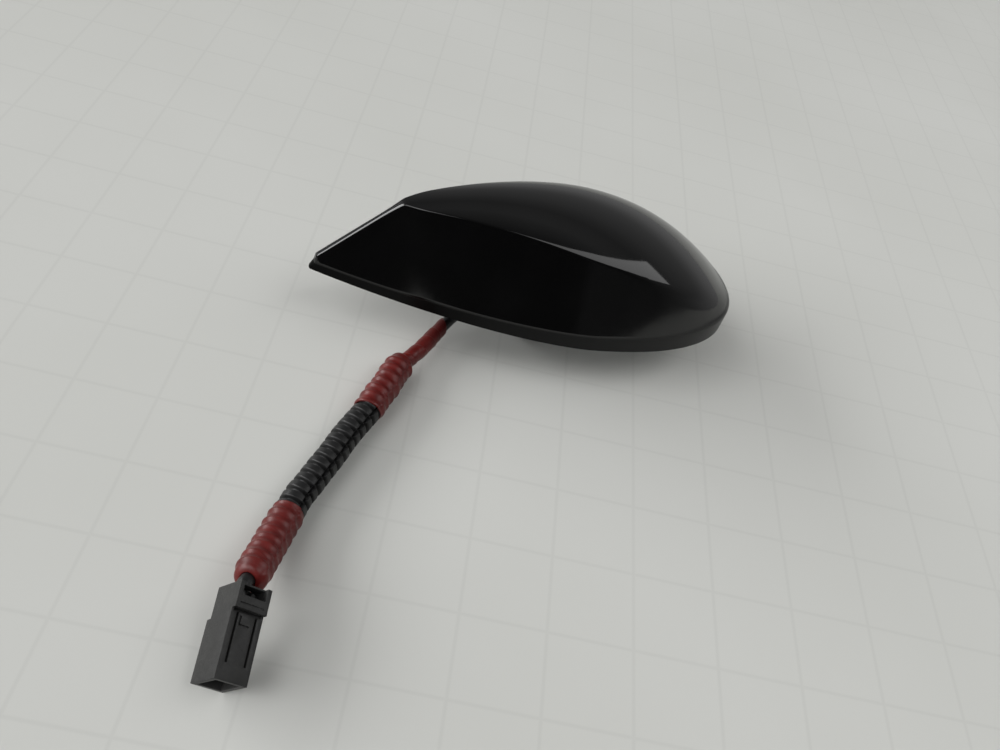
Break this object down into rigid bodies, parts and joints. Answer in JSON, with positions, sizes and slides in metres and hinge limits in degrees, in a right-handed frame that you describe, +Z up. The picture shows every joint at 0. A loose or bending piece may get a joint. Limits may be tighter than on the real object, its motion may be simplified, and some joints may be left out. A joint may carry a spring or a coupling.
{
  "type": "shark fin aerial",
  "caption": "Low roof aerial: a gloss black fin cover on a die-cast base with a threaded mounting boss, and a short taped lead in split conduit that ends in a small locking connector.",
  "frame": {"origin": "axis of the mounting boss, on the plane of the roof that the rim seal sits on", "axes": "+X towards the nose of the fin along its length, +Y across to the side away from the lead, +Z up out of the roof"},
  "size_m": [0.1409, 0.1365, 0.0436],
  "materials": {
    "cover": "high gloss moulded black",
    "rim_seal": "matt black rubber",
    "base_plate": "as cast, lightly bead blasted",
    "roof_seal": "matt black rubber",
    "cover_screws": "zinc plated",
    "circuit_board": "green solder mask on glass fibre",
    "board_screws": "zinc plated",
    "patch_pad": "white adhesive foam",
    "patch_ceramic": "pale fired ceramic",
    "patch_electrode": "fired silver",
    "feed_pin": "plated and soldered",
    "shield_can": "tinned sheet",
    "filter_block": "fired ceramic",
    "amplifier_chip": "moulded black",
    "cable_gland": "matt black rubber",
    "cable_ferrule": "plated and soldered",
    "lead_cable": "satin black jacket",
    "cable_tape": "glossy dark red vinyl tape",
    "conduit": "satin black corrugated plastic",
    "upper_tape": "glossy dark red vinyl tape",
    "lower_tape": "glossy dark red vinyl tape",
    "connector_housing": "fine matt moulded dark grey",
    "connector_blades": "gold plated",
    "connector_retainer": "natural moulded plastic"
  },
  "bodies": {
    "root": {"cover": "cover", "rim_seal": "rim_seal", "base_plate": "base_plate", "roof_seal": "roof_seal", "cover_screws": "cover_screws", "circuit_board": "circuit_board", "board_screws": "board_screws", "patch_pad": "patch_pad", "patch_ceramic": "patch_ceramic", "patch_electrode": "patch_electrode", "feed_pin": "feed_pin", "shield_can": "shield_can", "filter_block": "filter_block", "amplifier_chip": "amplifier_chip", "cable_gland": "cable_gland", "cable_ferrule": "cable_ferrule", "lead_cable": "lead_cable", "cable_tape": "cable_tape", "conduit": "conduit", "upper_tape": "upper_tape", "lower_tape": "lower_tape", "connector_housing": "connector_housing", "connector_blades": "connector_blades", "connector_retainer": "connector_retainer"}
  },
  "joints": []
}
